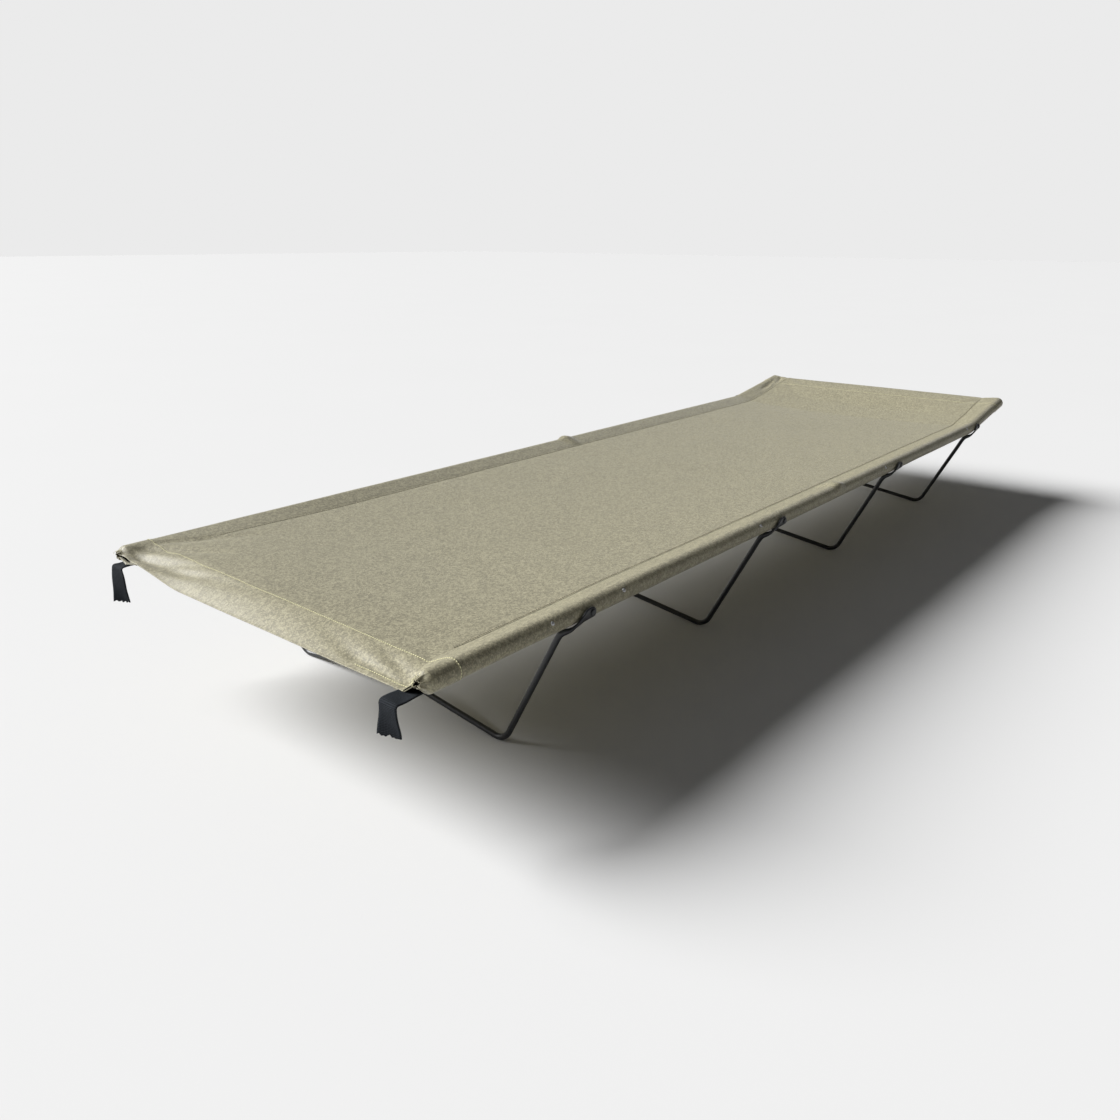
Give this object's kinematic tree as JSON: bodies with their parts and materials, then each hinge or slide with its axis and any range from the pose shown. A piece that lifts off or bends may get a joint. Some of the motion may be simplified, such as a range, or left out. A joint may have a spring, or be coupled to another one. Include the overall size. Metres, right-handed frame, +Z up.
{
  "type": "folding cot",
  "caption": "Low folding camp cot with a slung cloth bed, side rails that fold in half, a raised head end and W-shaped rod legs that swing flat.",
  "frame": {"origin": "on the floor under the middle of the cot's bounding box, with all four legs standing", "axes": "+X towards the raised head end, +Y to the sleeper's left, +Z up"},
  "size_m": [1.9338, 0.6336, 0.237],
  "materials": {
    "olive_cloth": "close-woven olive polyester with a slight satin sheen",
    "black_webbing": "ribbed black webbing",
    "powder_coat": "black powder coat, semi-gloss",
    "bare_steel": "zinc-plated steel rivets",
    "cast_zinc": "plain grey die casting",
    "black_plastic": "black moulded plastic"
  },
  "bodies": {
    "foot_half": {"rail_foot_left": "powder_coat", "end_cap_foot_left": "black_plastic", "plug_rivet_foot_left": "bare_steel", "hinge_fork_left": "cast_zinc", "leg_1_spacer_left": "bare_steel", "leg_1_rivet_left": "powder_coat", "leg_2_spacer_left": "bare_steel", "leg_2_rivet_left": "powder_coat", "sleeve_tack_foot_left_1": "bare_steel", "sleeve_tack_foot_left_2": "bare_steel", "sleeve_tack_foot_left_3": "bare_steel", "rail_foot_right": "powder_coat", "end_cap_foot_right": "black_plastic", "plug_rivet_foot_right": "bare_steel", "hinge_fork_right": "cast_zinc", "leg_1_spacer_right": "bare_steel", "leg_1_rivet_right": "powder_coat", "leg_2_spacer_right": "bare_steel", "leg_2_rivet_right": "powder_coat", "sleeve_tack_foot_right_1": "bare_steel", "sleeve_tack_foot_right_2": "bare_steel", "sleeve_tack_foot_right_3": "bare_steel", "cloth_foot_half": "olive_cloth", "hinge_pin_left": "bare_steel", "hinge_pin_right": "bare_steel", "strap_right": "black_webbing", "strap_left": "black_webbing"},
    "head_half": {"rail_head_left": "powder_coat", "end_cap_head_left": "black_plastic", "plug_rivet_head_left": "bare_steel", "hinge_tongue_left": "cast_zinc", "leg_3_spacer_left": "bare_steel", "leg_3_rivet_left": "powder_coat", "leg_4_spacer_left": "bare_steel", "leg_4_rivet_left": "powder_coat", "sleeve_tack_head_left_1": "bare_steel", "sleeve_tack_head_left_2": "bare_steel", "rail_head_right": "powder_coat", "end_cap_head_right": "black_plastic", "plug_rivet_head_right": "bare_steel", "hinge_tongue_right": "cast_zinc", "leg_3_spacer_right": "bare_steel", "leg_3_rivet_right": "powder_coat", "leg_4_spacer_right": "bare_steel", "leg_4_rivet_right": "powder_coat", "sleeve_tack_head_right_1": "bare_steel", "sleeve_tack_head_right_2": "bare_steel", "cloth_head_half": "olive_cloth"},
    "leg_1": {"leg_1": "powder_coat"},
    "leg_2": {"leg_2": "powder_coat"},
    "leg_3": {"leg_3": "powder_coat"},
    "leg_4": {"leg_4": "powder_coat"}
  },
  "joints": [
    {"name": "centre_fold", "type": "hinge", "parent": "foot_half", "child": "head_half", "pos_m": [0.01814, 0, 0.20534], "axis": [0, -1, 0], "range_deg": [0, 177]},
    {"name": "leg_1_swing", "type": "hinge", "parent": "foot_half", "child": "leg_1", "pos_m": [-0.68286, 0, 0.19284], "axis": [0, -1, 0], "range_deg": [0, 90]},
    {"name": "leg_2_swing", "type": "hinge", "parent": "foot_half", "child": "leg_2", "pos_m": [-0.19986, 0, 0.19284], "axis": [0, -1, 0], "range_deg": [0, 90]},
    {"name": "leg_3_swing", "type": "hinge", "parent": "head_half", "child": "leg_3", "pos_m": [0.28814, 0, 0.19284], "axis": [0, -1, 0], "range_deg": [0, 90]},
    {"name": "leg_4_swing", "type": "hinge", "parent": "head_half", "child": "leg_4", "pos_m": [0.77192, 0, 0.19617], "axis": [0, -1, 0], "range_deg": [0, 90]}
  ]
}
